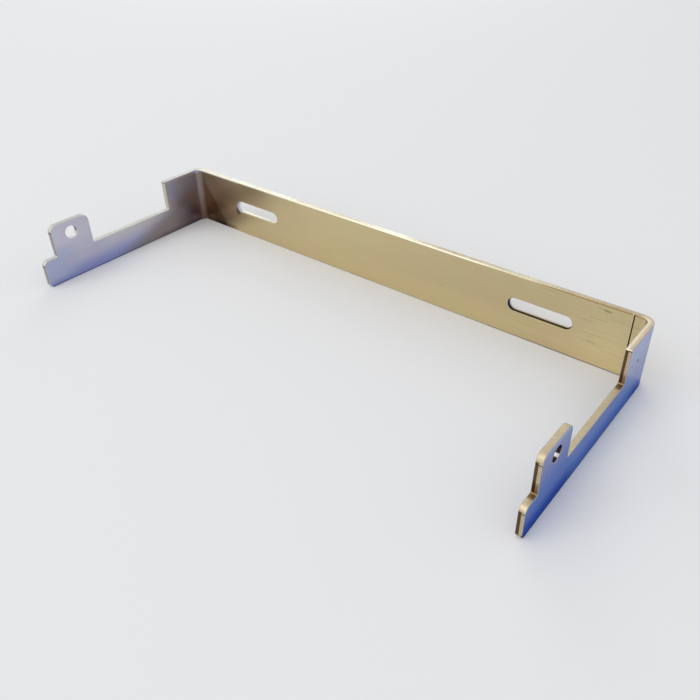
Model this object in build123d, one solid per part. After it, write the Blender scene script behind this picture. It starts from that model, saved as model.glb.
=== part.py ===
from build123d import *
import os

# Wall mounting bracket, folded from one blank of steel sheet. All sizes are in millimetres.
# +X runs along the back plate, +Y points into the wall, +Z points up.
# The origin is on the wall face of the back plate, halfway between its two slots.
# A reach is measured forward from the wall face, and a rise upward from the bottom edge.

# Sheet and folds
SHEET = 3.0
BEND_INNER_RADIUS = 3.0

# Punched edges: a smooth band beside the outer side, then a rough band that leans back
BURNISHED_SHARE = 0.5
FRACTURE_SETBACK = 0.1
OUTER_RIM_RADIUS = 0.35
INNER_RIM_BEVEL = 0.2

# Back plate and its two slots
OVERALL_WIDTH = 300.0
PLATE_HEIGHT = 34.0
SLOT_LENGTH = 34.0
SLOT_WIDTH = 7.0
SLOT_SPACING = 192.0
SLOT_RISE = 17.8

# Press line across the front of the back plate, beside the right fold
PRESS_LINE_FROM_ARM = 9.6
PRESS_LINE_WIDTH = 0.4
PRESS_LINE_DEPTH = 0.15

# Nicks across the front edges of the arms, where one stroke of the punch ends and the next begins
NICK_WIDTH = 0.36
NICK_DEPTH = 0.24

# Arms: a full-height shoulder at the fold, a low strip, a tab with a hole, and a low nose
SHOULDER_REACH = 30.0
ARM_REACH = 117.5
NOSE_LENGTH = 8.5
TAB_WIDTH = 24.0
STRIP_HEIGHT = 16.0
TAB_HOLE_DIAMETER = 7.0
TAB_HOLE_DROP = 7.0

# Corner radii of the arms, seen from the side
SHOULDER_RADIUS = 0.8
NOTCH_RADIUS = 0.8
TAB_RADIUS = 4.0
NOSE_TOP_RADIUS = 3.0
NOSE_BOTTOM_RADIUS = 2.5

# Places that follow from the sizes
BEND_OUTER_RADIUS = BEND_INNER_RADIUS + SHEET
FRACTURE_DEPTH = SHEET * (1 - BURNISHED_SHARE)
HALF_WIDTH = OVERALL_WIDTH / 2
BOTTOM = -SLOT_RISE
TOP = BOTTOM + PLATE_HEIGHT
STRIP_TOP = BOTTOM + STRIP_HEIGHT
TAB_FRONT_REACH = ARM_REACH - NOSE_LENGTH
TAB_BACK_REACH = TAB_FRONT_REACH - TAB_WIDTH
TAB_HOLE_REACH = TAB_FRONT_REACH - TAB_WIDTH / 2
TAB_HOLE_HEIGHT = TOP - TAB_HOLE_DROP
PRESS_LINE_X = HALF_WIDTH - PRESS_LINE_FROM_ARM


def outline(*corners):
    """A closed face from corners, each given as x, y and the radius that rounds it."""
    points = [(x, y) for x, y, radius in corners]
    radii = [radius for x, y, radius in corners]
    return make_face(FilletPolyline(*points, radius=radii, close=True))


def folded_strip():
    """The sheet folded to a U, as deep as the arms reach and as tall as the back plate."""
    inside = HALF_WIDTH - SHEET
    plan = outline(
        (-HALF_WIDTH, -ARM_REACH, 0),
        (-HALF_WIDTH, 0, BEND_OUTER_RADIUS),
        (HALF_WIDTH, 0, BEND_OUTER_RADIUS),
        (HALF_WIDTH, -ARM_REACH, 0),
        (inside, -ARM_REACH, 0),
        (inside, -SHEET, BEND_INNER_RADIUS),
        (-inside, -SHEET, BEND_INNER_RADIUS),
        (-inside, -ARM_REACH, 0),
    )
    return extrude(Pos(Z=BOTTOM) * plan, PLATE_HEIGHT)


def arm_profile():
    """The bracket seen from its side: shoulder, strip, tab and nose, as one block across both arms."""
    side = outline(
        (0, BOTTOM, 0),
        (0, TOP, 0),
        (-SHOULDER_REACH, TOP, SHOULDER_RADIUS),
        (-SHOULDER_REACH, STRIP_TOP, NOTCH_RADIUS),
        (-TAB_BACK_REACH, STRIP_TOP, NOTCH_RADIUS),
        (-TAB_BACK_REACH, TOP, TAB_RADIUS),
        (-TAB_FRONT_REACH, TOP, TAB_RADIUS),
        (-TAB_FRONT_REACH, STRIP_TOP, NOTCH_RADIUS),
        (-ARM_REACH, STRIP_TOP, NOSE_TOP_RADIUS),
        (-ARM_REACH, BOTTOM, NOSE_BOTTOM_RADIUS),
    )
    return extrude(Plane.YZ * side, HALF_WIDTH, both=True)


def tab_holes():
    """One straight hole line through both tabs."""
    hole = Plane.YZ * Pos(-TAB_HOLE_REACH, TAB_HOLE_HEIGHT) * Circle(TAB_HOLE_DIAMETER / 2)
    return extrude(hole, HALF_WIDTH, both=True)


def plate_slots():
    """The two level slots through the back plate, with full-round ends."""
    slot = extrude(Plane.XZ * SlotOverall(SLOT_LENGTH, SLOT_WIDTH), SHEET)
    return [Pos(X=side * SLOT_SPACING / 2) * slot for side in (-1, 1)]


def plate_face(body, depth):
    """The back plate's face at a depth under its wall face: 0, or the sheet's thickness."""
    faces = body.faces().filter_by(Axis.Y)
    return faces.sort_by(lambda face: abs(face.center().Y + depth))[0]


def arm_face(body, depth, side):
    """An arm's face at a depth under its outer face; side is -1 on the left and 1 on the right."""
    faces = body.faces().filter_by(Axis.X)
    return faces.sort_by(lambda face: abs(face.center().X - side * (HALF_WIDTH - depth)))[0]


def plate_rims(face):
    """The rims of the slots and the long edges, which run on round both arms as one smooth rim."""
    return face.edges().filter_by(Axis.Z, reverse=True)


def hole_rims(face):
    """The rim of the hole in an arm's tab."""
    return face.edges().filter_by(lambda edge: edge.is_closed)


def break_back(body):
    """Lean the rough band of the outline and the slots back; the tab holes stay straight for a pin."""
    front = plate_face(body, SHEET)
    return chamfer(plate_rims(front), FRACTURE_SETBACK, FRACTURE_DEPTH, reference=front)


def rims(body, depth):
    """Every rim on one side of the sheet, by its depth under the outer side of the fold."""
    edges = plate_rims(plate_face(body, depth))
    for side in (-1, 1):
        edges += hole_rims(arm_face(body, depth, side))
    return edges


def groove(width, depth):
    """The section of a V-shaped mark whose point reaches upward from the origin's level."""
    return make_face(Polyline((-width / 2, 0), (0, depth), (width / 2, 0), close=True))


def press_line():
    """The shallow mark that the press brake's edge left, as a sliver for cutting."""
    section = Pos(PRESS_LINE_X, -SHEET, BOTTOM) * groove(PRESS_LINE_WIDTH, PRESS_LINE_DEPTH)
    return extrude(section, PLATE_HEIGHT)


def punch_nicks():
    """The nicks at the upper end of each straight front edge, through both arms, as slivers for cutting."""
    ends = [
        (SHOULDER_REACH, TOP - SHOULDER_RADIUS),
        (TAB_FRONT_REACH, TOP - TAB_RADIUS),
        (ARM_REACH, STRIP_TOP - NOSE_TOP_RADIUS),
    ]
    section = Plane.YZ * Rot(Z=-90) * groove(NICK_WIDTH, NICK_DEPTH)
    return [Pos(0, -reach, height) * extrude(section, HALF_WIDTH, both=True) for reach, height in ends]


bracket = (folded_strip() & arm_profile()) - tab_holes()
for slot in plate_slots():
    bracket -= slot
bracket = break_back(bracket)
bracket = fillet(rims(bracket, 0), OUTER_RIM_RADIUS)
bracket = chamfer(rims(bracket, SHEET), INNER_RIM_BEVEL)
bracket -= press_line()
for nick in punch_nicks():
    bracket -= nick

os.makedirs("parts", exist_ok=True)
export_step(bracket, "parts/bracket.step")
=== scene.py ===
# %% [markdown]
# # A wall bracket, folded from one steel sheet
#
# The bracket is one blank of 3 mm steel, punched to its outline and folded twice. Nothing is joined
# to it, so there is nothing to build here beside the imported solid. All the work of this lesson goes
# into its finish: the sheet's rolled faces, the two bands of its punched edges, and a light that lets
# bare metal look like metal. Much of the light and shade is also painted into the steel's colour:
# reflections of warm and blue light on its faces, shade in its corners and highlights on its rims.
#
# Lengths are in metres, as the frame has them. Inside the steel's shader they are in millimetres,
# because the sizes of a sheet part read best that way.

# %% Load the imported bracket
from math import cos, radians, sin

import bpy
from mathutils import Matrix, Vector


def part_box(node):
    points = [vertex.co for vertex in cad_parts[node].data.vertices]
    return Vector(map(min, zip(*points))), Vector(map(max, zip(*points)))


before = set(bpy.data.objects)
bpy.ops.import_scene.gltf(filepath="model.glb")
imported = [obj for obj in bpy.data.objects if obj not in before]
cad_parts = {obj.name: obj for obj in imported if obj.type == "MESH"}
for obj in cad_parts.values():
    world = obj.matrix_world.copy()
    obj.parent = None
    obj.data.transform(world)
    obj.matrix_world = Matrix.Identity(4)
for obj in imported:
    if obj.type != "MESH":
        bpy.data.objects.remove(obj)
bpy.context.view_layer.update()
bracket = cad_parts["bracket"]
low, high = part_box("bracket")
print("bracket reaches from", [round(v, 4) for v in low], "to", [round(v, 4) for v in high])

# %% [markdown]
# ## The camera
#
# A camera could be moved by hand until the view looks right. It is surer to work it out: straight
# edges of a part with known sizes give the camera's place, its direction and its lens. The values
# here come from such a fit. The azimuth is how far the view turns from straight at the wall, the
# elevation is how far it looks down, and the roll is a slight lean of the camera. A small shift
# moves the picture within the frame without turning the view.

# %% Camera
PICTURE = 700
CAMERA_PLACE = Vector((0.2152, -0.2864, 0.1904))
AZIMUTH = radians(38.1)
ELEVATION = radians(35.35)
ROLL = radians(-0.65)
FOCAL_LENGTH_IN_PIXELS = 727.5
CENTRE_IN_PICTURE = (372.0, 348.9)


def camera_axes(azimuth, elevation, roll):
    """The camera's right, up and back directions."""
    ahead = cos(elevation)
    forward = Vector((-sin(azimuth) * ahead, cos(azimuth) * ahead, -sin(elevation)))
    level = forward.cross(Vector((0, 0, 1))).normalized()
    upright = level.cross(forward)
    right = cos(roll) * level + sin(roll) * upright
    return right, right.cross(forward), -forward


lens = bpy.data.cameras.new("camera")
lens.sensor_width = 36
lens.lens = FOCAL_LENGTH_IN_PIXELS / PICTURE * lens.sensor_width
lens.shift_x = (PICTURE / 2 - CENTRE_IN_PICTURE[0]) / PICTURE
lens.shift_y = (CENTRE_IN_PICTURE[1] - PICTURE / 2) / PICTURE
lens.clip_start = 0.01
camera = bpy.data.objects.new("camera", lens)
bpy.context.scene.collection.objects.link(camera)
turn = Matrix(camera_axes(AZIMUTH, ELEVATION, ROLL)).transposed().to_4x4()
camera.matrix_world = Matrix.Translation(CAMERA_PLACE) @ turn
bpy.context.scene.camera = camera
print("lens", round(lens.lens, 2), "mm, shift", round(lens.shift_x, 4), round(lens.shift_y, 4))

# %% [markdown]
# ## Helpers for shader nodes
#
# A shader is a net of small nodes. Adding, filling and connecting each one by hand takes several
# lines, so a few short helpers keep the finishes below readable. The first two add a node and fill
# its inputs, either with a plain value or with a wire from another node. The next two do
# arithmetic.

# %% Helpers that add nodes


def filled(tree, node, inputs):
    """Set or connect each input of a node by its name or number."""
    for name, value in inputs.items():
        if isinstance(value, bpy.types.NodeSocket):
            tree.links.new(value, node.inputs[name])
        else:
            node.inputs[name].default_value = value
    return node


def add(tree, kind, inputs=None, **settings):
    """Add a node, apply its settings and fill its inputs."""
    node = tree.nodes.new(kind)
    for name, value in settings.items():
        setattr(node, name, value)
    return filled(tree, node, inputs or {})


def calc(tree, operation, *values):
    """The result of one step of arithmetic."""
    return add(tree, "ShaderNodeMath", dict(enumerate(values)), operation=operation).outputs[0]


def product(tree, *values):
    """Several values multiplied together."""
    result = values[0]
    for value in values[1:]:
        result = calc(tree, "MULTIPLY", result, value)
    return result


print("node helpers ready")

# %% [markdown]
# ### Masks, mixes and noise
#
# A finish is built from masks: values from 0 to 1 that say where something is. A hard limit looks
# cut out with scissors, so every mask here fades over a short distance. Colours are then mixed by a
# mask, and noise that is stretched along one direction makes grain.
#
# Shaders work with linear light, while a colour on a screen is stored with a curve. The last helper
# turns the familiar screen values into linear ones.

# %% Helpers for masks, mixes and noise


def soft(tree, value, start, end, lowest=0.0, highest=1.0):
    """A value that goes smoothly from lowest to highest while another goes from start to end."""
    if start > end:
        start, end, lowest, highest = end, start, highest, lowest
    limits = {"From Min": start, "From Max": end, "To Min": lowest, "To Max": highest}
    settings = {"interpolation_type": "SMOOTHSTEP"}
    return add(tree, "ShaderNodeMapRange", {"Value": value, **limits}, **settings).outputs[0]


def band(tree, value, start, end, edge):
    """A mask that is 1 between two limits and fades to 0 over a soft edge outside them."""
    return product(tree, soft(tree, value, start - edge, start), soft(tree, value, end + edge, end))


def flipped(tree, mask):
    """A mask with its inside and outside exchanged."""
    return calc(tree, "SUBTRACT", 1.0, mask)


def mixed(tree, mask, first, second, how="MIX"):
    """The first colour where the mask is 0 and the second, or their product, where it is 1."""
    inputs = {0: mask, 6: first, 7: second}
    return add(tree, "ShaderNodeMix", inputs, data_type="RGBA", blend_type=how).outputs[2]


def blended(tree, mask, first, second):
    """The first value where the mask is 0 and the second where it is 1."""
    return add(tree, "ShaderNodeMix", {0: mask, 2: first, 3: second}).outputs[0]


def ramp(tree, value, stops):
    """A colour that changes with a value. Each stop is a value and its colour, in rising order."""
    first, last = stops[0][0], stops[-1][0]
    limits = {"From Min": first, "From Max": last}
    share = add(tree, "ShaderNodeMapRange", {"Value": value, **limits}).outputs[0]
    node = add(tree, "ShaderNodeValToRGB", {0: share})
    elements = node.color_ramp.elements
    elements[0].color, elements[1].color = stops[0][1], stops[-1][1]
    for where, colour in stops[1:-1]:
        elements.new((where - first) / (last - first)).color = colour
    return node.outputs[0]


def stretched(tree, position, scales):
    """A position scaled by its own number along each axis."""
    inputs = {0: position, 1: scales}
    return add(tree, "ShaderNodeVectorMath", inputs, operation="MULTIPLY").outputs[0]


def noise(tree, position, detail=2.0, roughness=0.5):
    """A cloud of values around 0.5, one unit from light to dark."""
    inputs = {"Vector": position, "Scale": 1.0, "Detail": detail, "Roughness": roughness}
    return add(tree, "ShaderNodeTexNoise", inputs).outputs[0]


def paint(red, green, blue):
    """A colour for a shader, from the screen values 0 to 255 that it has in white light."""
    def linear(value):
        part = value / 255
        return part / 12.92 if part <= 0.04045 else ((part + 0.055) / 1.055) ** 2.4
    return linear(red), linear(green), linear(blue), 1.0


print("screen value 128 is", round(paint(128, 0, 0)[0], 3), "in linear light")

# %% [markdown]
# ## Effects as node groups
#
# A node group is a small tool with named inputs and outputs. It is built once and can be placed in
# any material, so the effects of this steel are groups: how deep a point lies in the sheet, the
# grain that the rolling mill leaves, the marks that the punch leaves across a cut edge, the specks
# of small pits, and the distance from an opening. Two helpers start a group and put a finished one
# into a material.

# %% Group helpers
VECTOR = "NodeSocketVector"
NUMBER = "NodeSocketFloat"


def new_group(name, inputs, outputs):
    """An empty node group with its named sockets: the tree, what comes in, and what goes out."""
    tree = bpy.data.node_groups.new(name, "ShaderNodeTree")
    for label, start in inputs.items():
        kind = VECTOR if start is None else NUMBER
        socket = tree.interface.new_socket(label, in_out="INPUT", socket_type=kind)
        if start is not None:
            socket.default_value = start
    for label in outputs:
        tree.interface.new_socket(label, in_out="OUTPUT", socket_type=NUMBER)
    return tree, tree.nodes.new("NodeGroupInput").outputs, tree.nodes.new("NodeGroupOutput").inputs


def placed(tree, made, inputs):
    """A node group put into a tree with its inputs filled: its outputs."""
    node = tree.nodes.new("ShaderNodeGroup")
    node.node_tree = made
    return filled(tree, node, inputs).outputs


print("group helpers ready")

# %% [markdown]
# ### How deep a point lies in the sheet
#
# Every cut edge of the bracket has the same bands, counted from the outer side of the fold. A mask
# could be painted along each edge in turn. One formula serves them all: seen from above, the outer
# side is a straight line with a rounded corner at each end, and the distance from that line is the
# depth in the sheet. It is 0 on the outer side, the sheet's thickness on the inner side, and
# between the two only on a cut edge.

# %% Depth in the sheet


def depth_group():
    """Depth under the outer side of the fold, in millimetres."""
    inputs = {"Position": None, "Half Width": 150.0, "Bend Radius": 6.0}
    tree, given, result = new_group("depth_in_sheet", inputs, ["Depth"])
    xyz = add(tree, "ShaderNodeSeparateXYZ", {0: given["Position"]}).outputs
    middle = calc(tree, "SUBTRACT", given["Half Width"], given["Bend Radius"])
    sideways = calc(tree, "SUBTRACT", calc(tree, "ABSOLUTE", xyz["X"]), middle)
    backward = calc(tree, "ADD", xyz["Y"], given["Bend Radius"])
    beside = calc(tree, "MAXIMUM", sideways, 0.0)
    behind = calc(tree, "MAXIMUM", backward, 0.0)
    squares = calc(tree, "ADD", product(tree, beside, beside), product(tree, behind, behind))
    inside = calc(tree, "MINIMUM", calc(tree, "MAXIMUM", sideways, backward), 0.0)
    reach = calc(tree, "ADD", calc(tree, "SQRT", squares), inside)
    tree.links.new(calc(tree, "SUBTRACT", given["Bend Radius"], reach), result["Depth"])
    return tree


depth_in_sheet = depth_group()
print("made", depth_in_sheet.name, "with", len(depth_in_sheet.nodes), "nodes")

# %% [markdown]
# ### The grain of the rolled sheet
#
# The mill's rolls leave fine lines along the sheet, and handling adds a few deeper scratches the
# same way. Both are clouds of noise that are stretched along the strip. On the plate the strip runs
# along X and on the arms along Y, so stretching the cloud along both keeps the lines running round
# the folds. What is left is how fast it changes with height. Two more clouds change the tone in
# patches: large ones, a few centimetres wide, and a mottle of about a third of their size.

# %% Rolled grain


def grain_group():
    """Fine lines along the strip, a few deeper scratches, large patches and smaller ones."""
    outputs = ["Lines", "Scratches", "Clouds", "Mottle"]
    tree, given, result = new_group("rolled_grain", {"Position": None}, outputs)
    position = given["Position"]
    fine = noise(tree, stretched(tree, position, (0.035, 0.035, 3.0)), detail=3.0, roughness=0.65)
    coarse = noise(tree, stretched(tree, position, (0.016, 0.016, 0.8)))
    lines = calc(tree, "MULTIPLY_ADD", fine, 0.6, product(tree, coarse, 0.4))
    tree.links.new(lines, result["Lines"])
    bent = calc(tree, "MULTIPLY", noise(tree, stretched(tree, position, (0.03, 0.03, 0.1))), 1.6)
    lifted = add(tree, "ShaderNodeCombineXYZ", {2: bent}).outputs[0]
    waved = add(tree, "ShaderNodeVectorMath", {0: position, 1: lifted}, operation="ADD").outputs[0]
    long = noise(tree, stretched(tree, waved, (0.045, 0.045, 1.7)))
    places = noise(tree, stretched(tree, position, (0.045, 0.045, 0.12)), detail=0.0)
    deep = product(tree, soft(tree, long, 0.56, 0.72), soft(tree, places, 0.4, 0.6))
    tree.links.new(deep, result["Scratches"])
    tree.links.new(noise(tree, stretched(tree, position, (0.05, 0.05, 0.03))), result["Clouds"])
    mottle = noise(tree, stretched(tree, position, (0.14, 0.14, 0.14)), detail=1.0)
    tree.links.new(mottle, result["Mottle"])
    return tree


rolled_grain = grain_group()
print("made", rolled_grain.name, "with", len(rolled_grain.nodes), "nodes")

# %% [markdown]
# ### The marks of the punch
#
# A punch slides through the sheet and drags fine lines across the edge, from one side of the sheet
# to the other. The lines change fast along the edge and slowly through the sheet. Which axis goes
# through the sheet depends on the place: X in an arm, and Y in the plate. The edge also took the
# light unevenly where the punch was worn, so a slow cloud along the edge is a second output.

# %% Punch marks


def punch_group():
    """Lines across a cut edge, through the sheet, and slow changes along it."""
    inputs = {"Position": None, "In Arm": 0.0}
    tree, given, result = new_group("punch_marks", inputs, ["Marks", "Wear"])
    position = given["Position"]
    arm = noise(tree, stretched(tree, position, (0.35, 3.2, 3.2)), detail=3.0, roughness=0.6)
    plate = noise(tree, stretched(tree, position, (3.2, 0.35, 3.2)), detail=3.0, roughness=0.6)
    tree.links.new(blended(tree, given["In Arm"], plate, arm), result["Marks"])
    tree.links.new(noise(tree, stretched(tree, position, (0.07, 0.07, 0.07))), result["Wear"])
    return tree


punch_marks = punch_group()
print("made", punch_marks.name, "with", len(punch_marks.nodes), "nodes")

# %% [markdown]
# ### Specks
#
# Small pits and dirt show as a few dark dots. A Voronoi texture scatters one point in each cell of
# a loose grid, and the distance to the nearest point makes a dot around it. Each cell has its own
# chance number, which keeps most cells empty.

# %% Specks


def speck_group():
    """Round dots, scattered unevenly."""
    inputs = {"Position": None, "Spacing": 9.0, "Radius": 0.3, "Share": 0.2}
    tree, given, result = new_group("specks", inputs, ["Specks"])
    spread = add(tree, "ShaderNodeVectorMath", {0: given["Position"], 3: 1.0}, operation="SCALE")
    tree.links.new(calc(tree, "DIVIDE", 1.0, given["Spacing"]), spread.inputs[3])
    cells = add(tree, "ShaderNodeTexVoronoi", {"Vector": spread.outputs[0], "Scale": 1.0}).outputs
    away = product(tree, cells["Distance"], given["Spacing"])
    chance = add(tree, "ShaderNodeSeparateColor", {0: cells["Color"]}).outputs[0]
    dot = calc(tree, "SUBTRACT", 1.0, calc(tree, "DIVIDE", away, given["Radius"]))
    chosen = calc(tree, "LESS_THAN", chance, given["Share"])
    tree.links.new(product(tree, calc(tree, "MAXIMUM", dot, 0.0), chosen), result["Specks"])
    return tree


speck_dots = speck_group()
print("made", speck_dots.name, "with", len(speck_dots.nodes), "nodes")

# %% [markdown]
# ### Rings round the openings
#
# The slots and holes get painted highlights on their rims and painted light and shade on their walls.
# A slot is a row of circles: its distance is counted from a short level line in its middle, and a
# hole is a slot with no length. One group gives the distance outside the wall for both, so a ring or
# a wall is a mask between two distances. With a small radius it also draws single marks.

# %% Distance from a slot


def slot_group():
    """How far a point lies outside a slot's wall, in millimetres: below 0 it is in the opening."""
    inputs = {"Along": 0.0, "Up": 0.0, "Half Length": 13.5, "Radius": 3.5}
    tree, given, result = new_group("slot_distance", inputs, ["Distance"])
    beyond = calc(tree, "SUBTRACT", calc(tree, "ABSOLUTE", given["Along"]), given["Half Length"])
    beyond = calc(tree, "MAXIMUM", beyond, 0.0)
    up = given["Up"]
    squares = calc(tree, "ADD", product(tree, beyond, beyond), product(tree, up, up))
    distance = calc(tree, "SUBTRACT", calc(tree, "SQRT", squares), given["Radius"])
    tree.links.new(distance, result["Distance"])
    return tree


slot_distance = slot_group()
print("made", slot_distance.name, "with", len(slot_distance.nodes), "nodes")

# %% [markdown]
# ## The folded steel
#
# The whole bracket is one metal, so it gets one material. Several things change over it: the
# painted reflections of warm and blue light that colour its faces, the painted shade in its corners,
# the grain, and how each kind of edge was made, with painted highlights and shade on edges and rims.
# They are built up in layers, from the widest to the smallest, and each layer lies over the one
# before by its own mask.
#
# First come the part's sizes that the masks need. The outer ones are read from the imported solid, so
# they follow it. The inner ones are the sizes in the part's own source.

# %% Sizes in millimetres
MM = 1000.0
TOP = high.z * MM
BOTTOM = low.z * MM
HALF_WIDTH = high.x * MM
ARM_REACH = -low.y * MM
SHEET = 3.0
BEND_RADIUS = 6.0
BURNISHED_DEPTH = SHEET / 2
STRIP_TOP = BOTTOM + 16.0
SHOULDER_REACH = 30.0
TAB_REACH = ARM_REACH - 8.5
HOLE_REACH = TAB_REACH - 12.0
HOLE_HEIGHT = TOP - 7.0
HOLE_RADIUS = 3.5
SLOT_PLACE = 96.0
SLOT_HALF_LENGTH = 13.5
SLOT_RADIUS = 3.5
PRESS_PLACE = HALF_WIDTH - 9.6
print("the strips end at height", STRIP_TOP, "and the holes are at", (-HOLE_REACH, HOLE_HEIGHT))

# %% [markdown]
# ### The measures under the masks
#
# The masks ask where a point is, which way its surface faces, and how deep it lies in the sheet.
# All three are taken in the part's own space, so the finish is fixed to the metal and stays with it
# when the part turns. A point belongs to a cut edge when its depth is between the two faces of the
# sheet.
#
# In each mask the two numbers are where it begins and where it is complete: millimetres for a
# place, and a share of 1 for the way a surface faces. Two more numbers, where there are any, are
# its lowest and highest strength.

# %% Start of the steel
steel = bpy.data.materials.new("folded_steel")
steel.use_nodes = True
tree = steel.node_tree
tree.nodes.clear()
shader = add(tree, "ShaderNodeBsdfPrincipled")
tree.links.new(shader.outputs[0], add(tree, "ShaderNodeOutputMaterial").inputs[0])

place = add(tree, "ShaderNodeTexCoord").outputs
position = stretched(tree, place["Object"], (MM, MM, MM))
x, y, z = add(tree, "ShaderNodeSeparateXYZ", {0: position}).outputs
facing_x, facing_y, facing_z = add(tree, "ShaderNodeSeparateXYZ", {0: place["Normal"]}).outputs
fold = {"Position": position, "Half Width": HALF_WIDTH, "Bend Radius": BEND_RADIUS}
depth = placed(tree, depth_in_sheet, fold)["Depth"]
cut = product(tree, soft(tree, depth, 0.02, 0.12), soft(tree, depth, SHEET - 0.02, SHEET - 0.12))
inner_half = soft(tree, depth, BURNISHED_DEPTH - 0.15, BURNISHED_DEPTH + 0.15)
outer_half = flipped(tree, inner_half)
sideways = calc(tree, "ABSOLUTE", x)
in_arm = soft(tree, sideways, HALF_WIDTH - BEND_RADIUS, HALF_WIDTH - SHEET)
in_plate = flipped(tree, in_arm)
right_side = soft(tree, x, -10, 10)
left_side = flipped(tree, right_side)
on_front = soft(tree, facing_y, 0.2, -0.2)


def slanted(along, across, slope):
    """A place along a face, moved by how far it lies across, for a mask with a slanted border."""
    return calc(tree, "MULTIPLY_ADD", across, slope, along)


def away_from(along, up, half_length=0.0, radius=0.0):
    """How far a point lies outside a slot, a circle or a short mark, in millimetres."""
    inputs = {"Along": along, "Up": up, "Half Length": half_length, "Radius": radius}
    return placed(tree, slot_distance, inputs)["Distance"]


print("steel started,", len(tree.nodes), "nodes")

# %% [markdown]
# ### Colour of the plate
#
# Bare rolled steel is grey. The plate's colour here is a painted reflection of warm light, the colour
# of straw. It is a little darker toward the right and painted a little brighter toward the foot. The
# last stretch, where the plate turns into the arm, gets a bright and warm painted highlight. A narrow
# painted shadow line runs along the foot of the plate.

# %% Colour of the plate
PLATE_RIGHT = paint(206, 189, 148)
PLATE_LEFT = paint(217, 199, 154)
PLATE_FOOT = paint(220, 202, 157)
PLATE_END_HIGHLIGHT = paint(238, 218, 170)
PLATE_FOOT_SHADOW = paint(150, 132, 98)

plate = mixed(tree, soft(tree, x, 80, -60), PLATE_RIGHT, PLATE_LEFT)
plate = mixed(tree, soft(tree, z, 2, -14), plate, PLATE_FOOT)
end_highlight = product(tree, soft(tree, x, 98, 140), soft(tree, z, 16, -12, 0.2, 1.0))
plate = mixed(tree, end_highlight, plate, PLATE_END_HIGHLIGHT)
plate = mixed(tree, soft(tree, z, BOTTOM + 0.6, BOTTOM + 0.2), plate, PLATE_FOOT_SHADOW)
print("plate coloured,", len(tree.nodes), "nodes")

# %% [markdown]
# ### Colour of the left arm
#
# The inner side of the left arm is painted with a pale, cool reflection of the light. It turns from a
# soft lilac grey at the top to a bluer tone at the foot, and a thin painted shadow line along the
# lower rim is darker. The nose at the tip keeps the pale painted reflection down to that line.

# %% Colour of the left arm
PALE_TOP = paint(203, 199, 220)
PALE_MIDDLE = paint(190, 189, 208)
PALE_FOOT = paint(154, 163, 212)
PALE_TIP = paint(178, 182, 214)
PALE_RIM_SHADOW = paint(100, 104, 160)

pale_arm = mixed(tree, soft(tree, z, 8, -5), PALE_TOP, PALE_MIDDLE)
pale_arm = mixed(tree, soft(tree, z, -6, BOTTOM + 2), pale_arm, PALE_FOOT)
at_tip = product(
    tree, soft(tree, y, -92, -110), soft(tree, z, BOTTOM + 1, BOTTOM + 5), soft(tree, z, 6, -2)
)
pale_arm = mixed(tree, at_tip, pale_arm, PALE_TIP)
pale_arm = mixed(tree, soft(tree, z, BOTTOM + 0.9, BOTTOM + 0.3), pale_arm, PALE_RIM_SHADOW)
print("left arm coloured,", len(tree.nodes), "nodes")

# %% [markdown]
# ### Colour of the right arm
#
# The outer side of the right arm is painted with a reflection of blue light. The blue deepens from
# the top to the foot, it is paler on the low strip, and a thin dark painted shadow runs along the
# foot. On the shoulder, beside the fold, it gives way to a lilac painted reflection, and the border
# between the two slants. A paler blue painted highlight follows the top of the tab.
#
# The last lines join the plate and the arms by the way they face, so the painted warm and blue
# reflections meet in the middle of each bend. The sides that face left are plain grey.

# %% Colour of the right arm
BLUE_TOP = paint(190, 188, 216)
BLUE_MIDDLE = paint(142, 166, 226)
BLUE_FOOT = paint(46, 92, 201)
BLUE_FOOT_SHADOW = paint(20, 56, 140)
STRIP_MIDDLE = paint(160, 178, 228)
STRIP_FOOT = paint(100, 142, 224)
LILAC = paint(226, 224, 240)
LILAC_FOOT = paint(206, 206, 232)
TAB_HIGHLIGHT = paint(200, 224, 250)
HIDDEN_SIDE = paint(184, 181, 186)
BORDER_REACH = 25.3
BORDER_SLOPE = 0.7

on_strip = band(tree, y, -74, -22, 12)
blue_middle = mixed(tree, on_strip, BLUE_MIDDLE, STRIP_MIDDLE)
blue_foot = mixed(tree, on_strip, BLUE_FOOT, STRIP_FOOT)
blue_arm = mixed(tree, soft(tree, z, 13, -4), BLUE_TOP, blue_middle)
blue_arm = mixed(tree, soft(tree, z, -5, BOTTOM + 1.5), blue_arm, blue_foot)
blue_arm = mixed(tree, soft(tree, z, BOTTOM + 1.8, BOTTOM + 0.2), blue_arm, BLUE_FOOT_SHADOW)
lilac = mixed(tree, soft(tree, z, 12, -8), LILAC, LILAC_FOOT)
border = slanted(z, calc(tree, "ADD", y, BORDER_REACH), BORDER_SLOPE)
blue_arm = mixed(tree, soft(tree, border, -8.0, 0.0, 0.0, 0.22), blue_arm, lilac)
blue_arm = mixed(tree, soft(tree, border, -1.6, 1.6), blue_arm, lilac)
tab_highlight = product(tree, soft(tree, z, TOP - 2.8, TOP - 0.8, 0.0, 0.8), soft(tree, y, -80, -84))
blue_arm = mixed(tree, tab_highlight, blue_arm, TAB_HIGHLIGHT)

arms = mixed(tree, right_side, pale_arm, blue_arm)
faces = mixed(tree, soft(tree, facing_x, 0.25, 0.9), plate, arms)
faces = mixed(tree, soft(tree, facing_x, -0.8, -0.98), faces, HIDDEN_SIDE)
print("arms coloured,", len(tree.nodes), "nodes")
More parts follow.
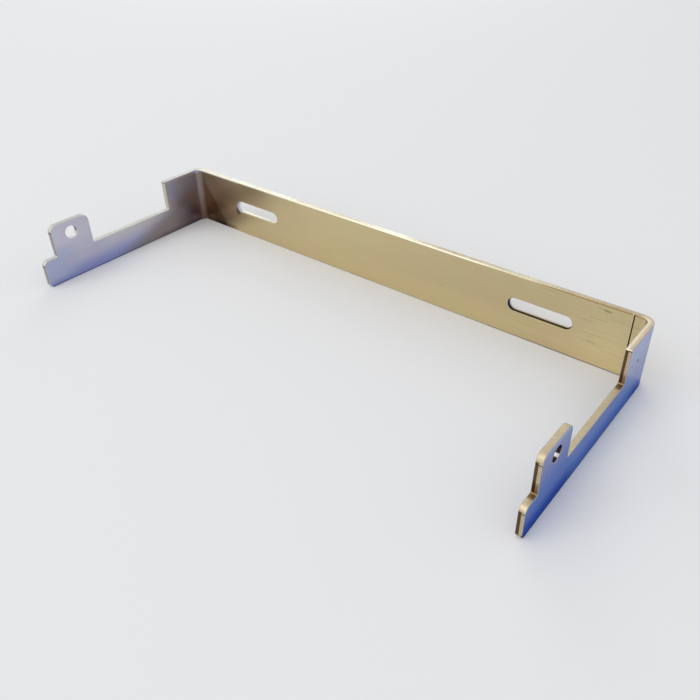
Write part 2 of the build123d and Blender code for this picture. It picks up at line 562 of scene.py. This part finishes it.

# %% [markdown]
# ### Painted shade on the plate, in the left corner
#
# Near the left fold the plate is painted darker, with the shade of the corner and the reflection of
# the left arm. Above the slot the painted shade thins out slowly toward the right, and below it the
# shade ends sooner, along a slanted border. A faint painted shade also lies over the upper plate,
# left of the slot's right end. Its tone changes with height, so it is a ramp. A darker painted wedge
# of shade, also with a slanted border, stands in the corner itself. The corner is painted darkest at
# its foot and a little warmer at its top.
#
# The two walls of a corner mirror each other, so the corner looks darker than its colour. The
# colours here are lighter than they look in the end for that reason, and most of all close to the
# bend.

# %% Painted shade on the plate
PLATE_SHADE_TONES = (
    (-14.5, paint(94, 78, 61)),
    (-10, paint(142, 119, 92)),
    (-4, paint(180, 153, 117)),
    (-1, paint(194, 165, 126)),
    (4, paint(191, 163, 124)),
    (14, paint(180, 152, 117)),
)
WEDGE = paint(158, 120, 84)
WEDGE_FOOT = paint(104, 80, 62)
NEAR_BEND = paint(214, 176, 136)
FOOT_SHADOW_TINT = paint(186, 184, 186)
WARM_CORNER = paint(255, 252, 212)
UPPER_SLOPE = 0.3
LOWER_SLOPE = -1.9
WEDGE_SLOPE = 0.62

on_plate = product(tree, band(tree, facing_x, -0.5, 0.5, 0.4), on_front)
lower_part = soft(tree, z, 0, -6)
faint_shade = product(tree, soft(tree, x, -76, -98, 0.0, 0.6), flipped(tree, lower_part))
upper_shade = soft(tree, slanted(x, z, UPPER_SLOPE), -103, -126)
lower_shade = soft(tree, slanted(x, z, LOWER_SLOPE), -79.9, -105.9)
corner_shade_mask = blended(tree, lower_part, upper_shade, lower_shade)
corner_shade_colour = ramp(tree, z, PLATE_SHADE_TONES)
faces = mixed(tree, product(tree, faint_shade, on_plate), faces, corner_shade_colour)
faces = mixed(tree, product(tree, corner_shade_mask, on_plate), faces, corner_shade_colour)
wedge = soft(tree, slanted(x, z, WEDGE_SLOPE), -134.6, -136.4)
wedge_colour = mixed(tree, soft(tree, z, -5, -13), WEDGE, WEDGE_FOOT)
beside_bend = product(tree, soft(tree, x, -134, -141), soft(tree, z, 0, -7, 0.12, 0.3))
wedge_colour = mixed(tree, beside_bend, wedge_colour, NEAR_BEND)
faces = mixed(tree, product(tree, wedge, on_plate), faces, wedge_colour)
corner_foot = product(tree, soft(tree, z, -14, -16.4), soft(tree, x, -112, -122), on_plate)
faces = mixed(tree, corner_foot, faces, FOOT_SHADOW_TINT, "MULTIPLY")
warm_corner = product(tree, soft(tree, z, 8, 12), soft(tree, x, -124, -134), on_plate)
faces = mixed(tree, warm_corner, faces, WARM_CORNER, "MULTIPLY")
print("plate film added,", len(tree.nodes), "nodes")

# %% [markdown]
# ### Painted shade and reflections on the left arm
#
# The painted shade on the left arm begins as a long slanted band along its foot, and it darkens
# toward the corner. Its tone changes with height, from a lilac reflection at the top of the shoulder
# to brown at the foot, which is darkest. The lilac painted reflection is strongest in a strip halfway
# along the shoulder. Ahead of the shade, the middle of the low strip is painted a little paler and
# greyer, as a paler reflection. Close to the fold the arm is painted in its own corner shade, lilac
# at the top and dark at the foot, and a thin painted shadow darkens the foot near the corner.

# %% Painted shade on the left arm
SHOULDER_SHADE_TONES = (
    (-8, paint(152, 143, 142)),
    (-1, paint(162, 154, 174)),
    (5, paint(166, 161, 246)),
)
STRIP_PALE_REFLECTION = paint(200, 202, 208)
SHOULDER_LILAC = paint(197, 201, 255)
CORNER_TOP = paint(164, 171, 216)
CORNER_MIDDLE = paint(164, 156, 172)
CORNER_FOOT = paint(120, 98, 104)
ARM_NEAR_BEND = paint(216, 190, 184)
ARM_SLOPE = -2.4

on_arm = product(tree, soft(tree, facing_x, 0.5, 0.9), left_side)
pale_strip = product(tree, band(tree, y, -70, -34, 16), soft(tree, z, -9, -4), soft(tree, z, 3, 0))
faces = mixed(tree, product(tree, pale_strip, on_arm), faces, STRIP_PALE_REFLECTION)
shade_place = slanted(y, calc(tree, "SUBTRACT", z, BOTTOM), ARM_SLOPE)
arm_shade = product(tree, soft(tree, shade_place, -84, -52), on_arm)
faces = mixed(tree, arm_shade, faces, ramp(tree, z, SHOULDER_SHADE_TONES))
shoulder_lilac = product(tree, band(tree, y, -27, -18, 2.5), soft(tree, z, 1, 6), on_arm)
faces = mixed(tree, shoulder_lilac, faces, SHOULDER_LILAC)
arm_corner = mixed(tree, soft(tree, z, 10, -3), CORNER_TOP, CORNER_MIDDLE)
arm_corner = mixed(tree, soft(tree, z, -3.5, -12), arm_corner, CORNER_FOOT)
beside_bend = product(
    tree, soft(tree, y, -14, -8, 0.0, 0.15), soft(tree, z, -1, -6), soft(tree, z, -17, -13)
)
arm_corner = mixed(tree, beside_bend, arm_corner, ARM_NEAR_BEND)
near_bend = product(tree, soft(tree, y, -31, -10), on_arm)
faces = mixed(tree, near_bend, faces, arm_corner)
arm_foot = product(tree, soft(tree, z, -14.4, -16.4, 0.0, 0.5), soft(tree, y, -46, -34), on_arm)
faces = mixed(tree, arm_foot, faces, FOOT_SHADOW_TINT, "MULTIPLY")
print("arm film added,", len(tree.nodes), "nodes")

# %% [markdown]
# ### The left bend
#
# Folding stretches the outside of a bend and squeezes its inside, so the grain there is broken up
# and the metal turns dull. The bend is painted as a soft grey reflection between the two darker
# walls. Its colour is mixed from three, by how far the surface has turned from the plate to the arm,
# and painted shade darkens it toward the foot. It will be given a duller gloss below.

# %% Colour of the bend
BEND_AT_PLATE = paint(194, 178, 148)
BEND_MIDDLE = paint(156, 144, 140)
BEND_AT_ARM = paint(160, 152, 154)
BEND_FOOT_SHADE = paint(214, 190, 180)

in_bend = product(tree, soft(tree, x, -142.6, -144.2), soft(tree, y, -8.0, -6.2), on_front)
bend_colour = mixed(tree, soft(tree, facing_x, 0.0, 0.6), BEND_AT_PLATE, BEND_MIDDLE)
bend_colour = mixed(tree, soft(tree, facing_x, 0.75, 1.0), bend_colour, BEND_AT_ARM)
bend_foot_shade = soft(tree, z, 6, BOTTOM + 3)
bend_colour = mixed(tree, bend_foot_shade, bend_colour, BEND_FOOT_SHADE, "MULTIPLY")
faces = mixed(tree, in_bend, faces, bend_colour)
print("bend coloured,", len(tree.nodes), "nodes")

# %% [markdown]
# ### Grain, patches and specks
#
# The grain is faint over most of the sheet and clear near the right end, where the plate was
# handled most. The large patches lean to olive or to pink, and on the arms smaller ones lean to
# violet or to sky blue. All of these change the colours below them only a little, so they are
# multiplied with them.

# %% Grain, patches and specks
OLIVE = paint(253, 255, 251)
PINK = paint(255, 253, 254)
VIOLET = paint(255, 250, 253)
SKY = paint(250, 255, 255)
GRAIN_DEPTHS = (0.025, 0.05)
SCRATCH_DEPTHS = (0.04, 0.17)
SPECK_DEPTH = 0.6

grain = placed(tree, rolled_grain, {"Position": position})
specks = placed(tree, speck_dots, {"Position": position})["Specks"]
handled = product(tree, soft(tree, x, 60, 116), in_plate, on_front)


def shaded(colours, value):
    """Colours made darker or lighter by a value."""
    grey = add(tree, "ShaderNodeCombineColor", {0: value, 1: value, 2: value}).outputs[0]
    return mixed(tree, 1.0, colours, grey, "MULTIPLY")


grain_depth = soft(tree, handled, 0.0, 1.0, *GRAIN_DEPTHS)
around_zero = soft(tree, grain["Lines"], 0.3, 0.7, -1.0, 1.0)
grain_shade = calc(tree, "MULTIPLY_ADD", around_zero, grain_depth, 1.0)
scratch_depth = soft(tree, handled, 0.0, 1.0, *SCRATCH_DEPTHS)
scratch_shade = flipped(tree, product(tree, grain["Scratches"], scratch_depth))
speck_shade = flipped(tree, product(tree, specks, SPECK_DEPTH))
patches = mixed(tree, soft(tree, grain["Clouds"], 0.38, 0.62), OLIVE, PINK)
faces = mixed(tree, 1.0, faces, patches, "MULTIPLY")
mottle = mixed(tree, soft(tree, grain["Mottle"], 0.35, 0.65), VIOLET, SKY)
faces = mixed(tree, in_arm, faces, mottle, "MULTIPLY")
faces = shaded(faces, product(tree, grain_shade, scratch_shade, speck_shade))
print("grain added,", len(tree.nodes), "nodes")

# %% [markdown]
# ### Single marks
#
# A few marks can be told apart: a rub near the top of the plate's right end, short scratches below
# it, a speck between the slots, and two pits in the right arm. Each is a short line with round
# ends, drawn by the group that also draws the slots. Its row holds its place along the face, its
# height, half its length, half its width, and how dark it is.

# %% Single marks
PLATE_MARKS = (
    (128.4, 13.3, 1.4, 0.4, 0.36),
    (126.3, 13.8, 2.6, 0.12, 0.22),
    (125.0, 7.9, 4.0, 0.12, 0.2),
    (119.5, 5.4, 3.0, 0.12, 0.2),
    (123.3, -5.4, 1.8, 0.15, 0.3),
    (40.1, -3.7, 0.5, 0.2, 0.2),
)
ARM_MARKS = ((-18.1, 4.4, 0.0, 0.7, 0.9), (-25.0, 5.1, 0.0, 0.4, 0.5))


def with_marks(shade, along, marks, face):
    """A shade made darker at each mark on one face."""
    for reach, height, half_length, half_width, darkness in marks:
        beside = calc(tree, "SUBTRACT", along, reach)
        above = calc(tree, "SUBTRACT", z, height)
        away = away_from(beside, above, half_length, half_width)
        mark = product(tree, soft(tree, away, 0.3, -0.15), face, darkness)
        shade = product(tree, shade, flipped(tree, mark))
    return shade


right_face = product(tree, soft(tree, facing_x, 0.8, 0.95), right_side)
plate_face = product(tree, soft(tree, facing_y, -0.8, -0.95), soft(tree, y, -3.4, -3.1))
mark_shade = with_marks(1.0, x, PLATE_MARKS, plate_face)
mark_shade = with_marks(mark_shade, y, ARM_MARKS, right_face)
faces = shaded(faces, mark_shade)
print(len(PLATE_MARKS) + len(ARM_MARKS), "marks added")

# %% [markdown]
# ### Cut edges, seen from above
#
# A punch shears the first part of the sheet, which leaves a smooth band, and tears the rest, which
# leaves a rough one. From above the two bands are close in tone, and that tone is painted light.
# Along the plate the painted highlight wanders from cream on the left to a warm tan on the right, and
# in two stretches the outer band is painted dimmer. The left arm's highlight is cooler. The right
# shoulder's is warm, its outer band is painted dim as well, and its inner rim gets a thin painted
# highlight line. The inner corners of the right arm get a little painted shade.

# %% Cut edges seen from above
TOP_STOPS = (
    (-72, paint(252, 246, 220)),
    (-28, paint(233, 225, 196)),
    (8, paint(251, 248, 225)),
    (48, paint(225, 212, 182)),
    (78, paint(238, 234, 207)),
    (122, paint(216, 201, 170)),
)
TOP_OF_LEFT_ARM = paint(224, 224, 212)
SHOULDER_TOP = paint(252, 240, 212)
OUTER_DIM = paint(236, 226, 220)
INNER_HIGHLIGHT = paint(255, 247, 222)
CORNER_SHADE = paint(170, 154, 124)

punched = placed(tree, punch_marks, {"Position": position, "In Arm": in_arm})
tops = ramp(tree, x, TOP_STOPS)
tops = mixed(tree, product(tree, in_arm, left_side), tops, TOP_OF_LEFT_ARM)
high_up = soft(tree, z, TOP - 1.2, TOP - 0.8)
at_shoulder = product(tree, soft(tree, x, 141, 147), soft(tree, y, -34, -31), high_up)
tops = mixed(tree, at_shoulder, tops, SHOULDER_TOP)
dim_left = product(tree, band(tree, x, -60, -18, 10), 0.7)
dim_places = calc(tree, "MAXIMUM", dim_left, band(tree, x, 28, 70, 12))
dim_places = calc(tree, "MAXIMUM", dim_places, at_shoulder)
dimmed = product(tree, outer_half, dim_places)
edges = mixed(tree, dimmed, tops, OUTER_DIM, "MULTIPLY")
inner_highlight = product(tree, soft(tree, depth, 2.3, 2.55), at_shoulder)
edges = mixed(tree, inner_highlight, edges, INNER_HIGHLIGHT)


def near_corner(reach, size):
    """A round patch on the low edge just ahead of an inner corner."""
    ahead = calc(tree, "ADD", y, reach + size / 2)
    above = calc(tree, "SUBTRACT", z, STRIP_TOP)
    return soft(tree, away_from(ahead, above), size, size / 3)


corners = calc(tree, "MAXIMUM", near_corner(SHOULDER_REACH, 3.4), near_corner(TAB_REACH, 2.6))
corners = product(tree, corners, in_arm, right_side)
edges = mixed(tree, corners, edges, CORNER_SHADE, "MULTIPLY")
print("edges seen from above coloured,", len(tree.nodes), "nodes")

# %% [markdown]
# ### Cut edges, seen from the front
#
# From the front the two bands differ clearly: the smooth band by the outer side is light, and the
# torn band is dark brown on the right arm. Their tones are partly the bands' own finish and partly
# painted light: the torn band is painted darker on the right arm, in shade, than on the left. On the
# left arm the torn band is narrower and paler, and the front of the left shoulder is plain. On the
# right arm the foot of each straight edge gets painted shade, as if from the step below it.

# %% Cut edges seen from the front
BURNISHED = paint(210, 190, 166)
BURNISHED_LEFT = paint(204, 203, 195)
FRACTURE = paint(104, 84, 62)
FRACTURE_LEFT = paint(152, 136, 128)
SHOULDER_LEFT = paint(216, 213, 190)
FOOT_SHADE = paint(196, 178, 164)

front = soft(tree, facing_y, -0.93, -0.99)
burnished_left = mixed(tree, soft(tree, y, -60, -40), BURNISHED_LEFT, SHOULDER_LEFT)
burnished = mixed(tree, right_side, burnished_left, BURNISHED)
torn = blended(tree, right_side, soft(tree, depth, 1.7, 2.1), inner_half)
fracture_left = mixed(tree, soft(tree, y, -60, -40), FRACTURE_LEFT, SHOULDER_LEFT)
fracture = mixed(tree, right_side, fracture_left, FRACTURE)
front_colour = mixed(tree, torn, burnished, fracture)
front_foot = product(tree, band(tree, z, STRIP_TOP, STRIP_TOP + 3.4, 3.2), right_side)
front_foot = product(tree, front_foot, soft(tree, z, STRIP_TOP - 1.6, STRIP_TOP))
front_colour = mixed(tree, front_foot, front_colour, FOOT_SHADE, "MULTIPLY")
edges = mixed(tree, front, edges, front_colour)
print("edges seen from the front coloured,", len(tree.nodes), "nodes")

# %% [markdown]
# ### Walls of the slots
#
# The slots have the same two bands inside, and their light and shade are painted. In the left slot
# the rear band has a painted highlight that dims toward the right, the front band is tan, and both
# get a cool painted reflection at the left end. In the right slot the rear band has a cream painted
# highlight and the front band painted shade, and the left end is painted in shade.

# %% Walls of the slots
RIGHT_WALL_REAR = paint(214, 202, 174)
RIGHT_WALL_FRONT = paint(68, 54, 34)
RIGHT_WALL_END = paint(34, 46, 66)
LEFT_WALL_REAR = paint(252, 248, 228)
LEFT_WALL_FRONT = paint(182, 164, 132)
LEFT_WALL_END = paint(196, 204, 228)
LEFT_END_REAR = paint(246, 246, 248)
LEFT_WALL_DIM = paint(226, 218, 202)

from_slot = calc(tree, "SUBTRACT", sideways, SLOT_PLACE)
slot_away = away_from(from_slot, z, SLOT_HALF_LENGTH, SLOT_RADIUS)
slot_wall = product(tree, soft(tree, slot_away, 0.9, 0.5), in_plate)
dimmer = soft(tree, x, -SLOT_PLACE - 4, -SLOT_PLACE + 12)
left_rear = mixed(tree, dimmer, LEFT_WALL_REAR, LEFT_WALL_DIM)
left_wall = mixed(tree, soft(tree, depth, 2.1, 2.5), left_rear, LEFT_WALL_FRONT)
left_end = mixed(tree, inner_half, LEFT_END_REAR, LEFT_WALL_END)
left_wall = mixed(tree, soft(tree, x, -SLOT_PLACE - 13, -SLOT_PLACE - 15), left_wall, left_end)
dark_part = soft(tree, depth, 1.1, 1.5)
right_wall = mixed(tree, dark_part, RIGHT_WALL_REAR, RIGHT_WALL_FRONT)
right_end = product(tree, soft(tree, x, SLOT_PLACE - 13, SLOT_PLACE - 15), dark_part)
right_wall = mixed(tree, right_end, right_wall, RIGHT_WALL_END)
edges = mixed(tree, slot_wall, edges, mixed(tree, right_side, left_wall, right_wall))
print("slots coloured,", len(tree.nodes), "nodes")

# %% [markdown]
# ### Walls of the holes
#
# The hole in the right tab is seen at a slant, so only its wall shows: painted dark, in shade, with
# one bright painted highlight stripe where the wall turns up to the light. In the left tab the wall
# is a crescent with a cream painted highlight in the middle and an almost white one below, and
# painted shade darkens the torn band in its upper part.
#
# With the walls done, the punch's own marks and its uneven wear go over all the cut edges, and
# these are then joined to the faces.

# %% Walls of the holes
HOLE_DARK = paint(78, 62, 56)
HOLE_BRIGHT = paint(255, 253, 246)
HOLE_CREAM = paint(230, 224, 206)
HOLE_BROWN = paint(112, 84, 72)

along_hole = calc(tree, "ADD", y, HOLE_REACH)
above_hole = calc(tree, "SUBTRACT", z, HOLE_HEIGHT)
hole_away = away_from(along_hole, above_hole, radius=HOLE_RADIUS)
hole_wall = product(tree, soft(tree, hole_away, 0.9, 0.5), in_arm)
glint = band(tree, above_hole, -2.9, -2.25, 0.35)
right_hole = mixed(tree, glint, HOLE_DARK, HOLE_BRIGHT)
left_shade = product(tree, soft(tree, above_hole, -1.2, 0.0), inner_half)
left_hole = mixed(tree, soft(tree, above_hole, -1.4, -2.6), HOLE_CREAM, HOLE_BRIGHT)
left_hole = mixed(tree, left_shade, left_hole, HOLE_BROWN)
edges = mixed(tree, hole_wall, edges, mixed(tree, right_side, left_hole, right_hole))
edges = shaded(edges, soft(tree, punched["Marks"], 0.3, 0.7, 0.86, 1.08))
edges = shaded(edges, soft(tree, punched["Wear"], 0.3, 0.7, 0.95, 1.04))
base = mixed(tree, cut, faces, edges)
print("holes coloured,", len(tree.nodes), "nodes")

# %% [markdown]
# ### Painted highlights and shade on the rims
#
# The rims get painted highlights and shade. The plate's top front rim has a painted highlight on the
# left and painted shade on the right, and toward the right its foot is a dull olive painted shadow
# line. The left hole and the upper part of the left slot have a painted highlight ring, and the metal
# beside that slot's lower left corner has a little painted shade. The rounded outer rim of the right
# arm has a pale painted highlight above and dark blue painted shade below, and painted shade darkens
# the inner rim along the left arm's foot. A lilac painted highlight lies along the top of the left
# shoulder. Short dark nicks cross the front edges of the arms, where one stroke of the punch ended
# and the next began.

# %% Worn and shaded rims
RIM_SHADE = paint(190, 173, 146)
RIM_BRIGHT = paint(255, 250, 226)
SLOT_RIM_HIGHLIGHT = paint(222, 222, 216)
HOLE_RIM_HIGHLIGHT = paint(236, 240, 246)
RIM_HIGHLIGHT = paint(176, 173, 168)
LOWER_RIM_SHADE = paint(8, 26, 90)
PLATE_FOOT_SHADOW_LINE = paint(126, 120, 94)
LEFT_FOOT_SHADE = paint(190, 202, 233)
SHOULDER_HIGHLIGHT = paint(206, 210, 248)
NICK_SHADE = paint(62, 48, 36)
SLOT_SHADE = paint(168, 164, 204)
SLOT_CORNER = (-112.8, -3.6)
NICK_HALF_WIDTH = 0.14
NICK_FADE = 0.12
NICKS = (
    (TOP - 0.8, -SHOULDER_REACH),
    (TOP - 4.0, -TAB_REACH),
    (STRIP_TOP - 3.0, -ARM_REACH),
)

at_inner_face = soft(tree, depth, SHEET - 0.4, SHEET - 0.25)
rim_height = calc(tree, "ADD", z, soft(tree, x, 0, -90, 0.05, 0.3))
at_top = soft(tree, rim_height, TOP - 0.7, TOP - 0.45)
plate_rim = product(tree, at_top, at_inner_face, in_plate)
base = mixed(tree, product(tree, plate_rim, soft(tree, x, 74, 54)), base, RIM_BRIGHT)
base = mixed(tree, product(tree, plate_rim, soft(tree, x, 84, 104)), base, RIM_SHADE, "MULTIPLY")
plate_foot_shadow = product(tree, soft(tree, z, BOTTOM + 0.8, BOTTOM + 0.3), on_front, in_plate)
base = mixed(tree, product(tree, plate_foot_shadow, soft(tree, x, 30, 110)), base, PLATE_FOOT_SHADOW_LINE)
at_slot_rim = band(tree, slot_away, 0.0, 0.3, 0.15)
slot_ring = product(tree, at_slot_rim, soft(tree, x, -60, -80), at_inner_face)
slot_ring = product(tree, slot_ring, soft(tree, z, -2.6, -1.4), soft(tree, x, -112, -108))
base = mixed(tree, slot_ring, base, SLOT_RIM_HIGHLIGHT)
hole_ring = product(tree, band(tree, hole_away, 0.0, 0.25, 0.15), in_arm, on_arm)
base = mixed(tree, hole_ring, base, HOLE_RIM_HIGHLIGHT)
beside = calc(tree, "SUBTRACT", x, SLOT_CORNER[0])
above = calc(tree, "SUBTRACT", z, SLOT_CORNER[1])
by_slot_corner = soft(tree, away_from(beside, above), 3.2, 1.0)
slot_shade = product(tree, by_slot_corner, soft(tree, slot_away, 0.1, 0.4), on_plate)
base = mixed(tree, slot_shade, base, SLOT_SHADE, "MULTIPLY")
rounded = product(tree, soft(tree, facing_x, 0.2, 0.45), soft(tree, facing_x, 0.96, 0.86))
outer_rim = product(
    tree, rounded, right_side, soft(tree, y, -6.2, -7.0), soft(tree, facing_y, -0.9, -0.6)
)
rim_colour = mixed(tree, soft(tree, facing_z, 0.1, -0.1), RIM_HIGHLIGHT, LOWER_RIM_SHADE)
base = mixed(tree, outer_rim, base, rim_colour)
under_side = product(
    tree, soft(tree, facing_z, -0.06, -0.24), soft(tree, depth, 0.6, 0.5), in_arm, right_side
)
base = mixed(tree, under_side, base, LOWER_RIM_SHADE)
left_foot_shade = product(
    tree, soft(tree, z, BOTTOM + 1.1, BOTTOM + 0.4), at_inner_face, left_side, in_arm
)
base = mixed(tree, left_foot_shade, base, LEFT_FOOT_SHADE, "MULTIPLY")
shoulder_highlight = product(
    tree, soft(tree, z, TOP - 2.8, TOP - 0.8, 0.0, 0.75), soft(tree, y, -30, -28), on_arm
)
base = mixed(tree, shoulder_highlight, base, SHOULDER_HIGHLIGHT)
nicks = 0.0
for height, reach in NICKS:
    across = band(tree, z, height - NICK_HALF_WIDTH, height + NICK_HALF_WIDTH, NICK_FADE)
    here = product(tree, across, band(tree, y, reach - 0.5, reach + 0.5, 0.2))
    nicks = calc(tree, "MAXIMUM", nicks, here)
base = mixed(tree, product(tree, nicks, cut, in_arm), base, NICK_SHADE)
print("rims worn,", len(tree.nodes), "nodes")

# %% [markdown]
# ### The press line
#
# The edge of the press brake left a shallow line across the plate, close to the right fold. The
# line itself is a groove in the solid. Here it is painted dark, as shade in the groove, with a bright
# painted highlight on the burr along its left side.

# %% Press line
PRESS_SHADE = paint(88, 64, 42)
PRESS_SHINE = paint(226, 212, 176)

from_line = calc(tree, "SUBTRACT", x, PRESS_PLACE)
in_front = product(tree, soft(tree, y, -2.5, -2.7), soft(tree, facing_y, -0.3, -0.5))
shine = product(tree, band(tree, from_line, -0.6, -0.3, 0.1), in_front)
base = mixed(tree, shine, base, PRESS_SHINE)
press = product(tree, soft(tree, calc(tree, "ABSOLUTE", from_line), 0.42, 0.24), in_front)
base = mixed(tree, press, base, PRESS_SHADE)
tree.links.new(base, shader.inputs["Base Color"])
print("press line coloured,", len(tree.nodes), "nodes")

# %% [markdown]
# ### Gloss and relief
#
# Rolled steel is glossy along smooth stretches and duller in its scratches, and a punched edge or a
# folded bend is duller still. The same patterns that changed the colour now change the roughness,
# and they raise and sink the surface by about a hundredth of a millimetre, so light breaks on them.
#
# Metal turns white at its outline when it is seen at a slant. On dark blue that white would wash
# the colour out, so the specular tint holds it back.

# %% Gloss and relief
EDGE_TINT = paint(176, 190, 220)
FACE_ROUGHNESS = (0.36, 0.28)
SCRATCH_ROUGHNESS = 0.12
BEND_ROUGHNESS = 0.55
EDGE_ROUGHNESS = (0.56, 0.42)
RELIEF = 0.00002
RELIEF_STRENGTH = 0.6

face_rough = soft(tree, grain["Lines"], 0.3, 0.7, *FACE_ROUGHNESS)
face_rough = calc(tree, "MULTIPLY_ADD", grain["Scratches"], SCRATCH_ROUGHNESS, face_rough)
face_rough = blended(tree, in_bend, face_rough, BEND_ROUGHNESS)
edge_rough = soft(tree, punched["Marks"], 0.3, 0.7, *EDGE_ROUGHNESS)
tree.links.new(blended(tree, cut, face_rough, edge_rough), shader.inputs["Roughness"])
shader.inputs["Metallic"].default_value = 1.0
shader.inputs["Specular Tint"].default_value = EDGE_TINT
face_relief = calc(tree, "MULTIPLY_ADD", grain["Scratches"], -0.5, grain["Lines"])
relief = blended(tree, cut, face_relief, punched["Marks"])
inputs = {"Height": relief, "Distance": RELIEF, "Strength": RELIEF_STRENGTH}
tree.links.new(add(tree, "ShaderNodeBump", inputs).outputs[0], shader.inputs["Normal"])

for slot in bracket.material_slots:
    slot.material = steel
print("steel on", len(bracket.material_slots), "slots,", len(tree.nodes), "nodes")

# %% [markdown]
# ## Floor
#
# The bracket stands on a plain pale floor, so its feet have a contact shadow. The floor is much
# larger than the view, which hides its border. It is staging, not part of the bracket.

# %% Floor
FLOOR_SIZE = 8.0
FLOOR_COLOUR = paint(232, 233, 235)
FLOOR_ROUGHNESS = 0.9

bpy.ops.mesh.primitive_plane_add(size=FLOOR_SIZE, location=(0, 0, low.z))
floor = bpy.context.object
floor.name = "floor"
pale = bpy.data.materials.new("pale_floor")
pale.use_nodes = True
pale_shader = pale.node_tree.nodes["Principled BSDF"]
filled(pale.node_tree, pale_shader, {"Base Color": FLOOR_COLOUR, "Roughness": FLOOR_ROUGHNESS})
floor.data.materials.append(pale)
print("floor at height", round(low.z, 4))

# %% [markdown]
# ## Light
#
# Bare metal shows what is around it, so small lamps would leave it black with hard spots. Two large
# soft boxes and an even pale surround give it something bright and calm to mirror. The box in front
# lights the faces, and a weaker one behind lights the tops of the edges.

# %% Light
SURROUND_COLOUR = paint(250, 250, 250)
SURROUND_STRENGTH = 0.8


def softbox(name, place, size, power):
    """A square area light that faces the part."""
    light = bpy.data.lights.new(name, "AREA")
    light.shape = "SQUARE"
    light.size = size
    light.energy = power
    box = bpy.data.objects.new(name, light)
    bpy.context.scene.collection.objects.link(box)
    box.location = place
    box.rotation_euler = (-Vector(place)).to_track_quat("-Z", "Y").to_euler()
    return box


boxes = [
    softbox("back_left", (-1.1, 1.2, 0.75), size=0.8, power=3),
    softbox("front", (-0.5, -1.4, 1.5), size=2.0, power=13),
]
world = bpy.data.worlds.new("studio")
world.use_nodes = True
surround = world.node_tree.nodes["Background"]
filled(world.node_tree, surround, {"Color": SURROUND_COLOUR, "Strength": SURROUND_STRENGTH})
bpy.context.scene.world = world
bpy.context.scene.view_settings.view_transform = "Standard"
print(len(boxes), "soft boxes and the surround")
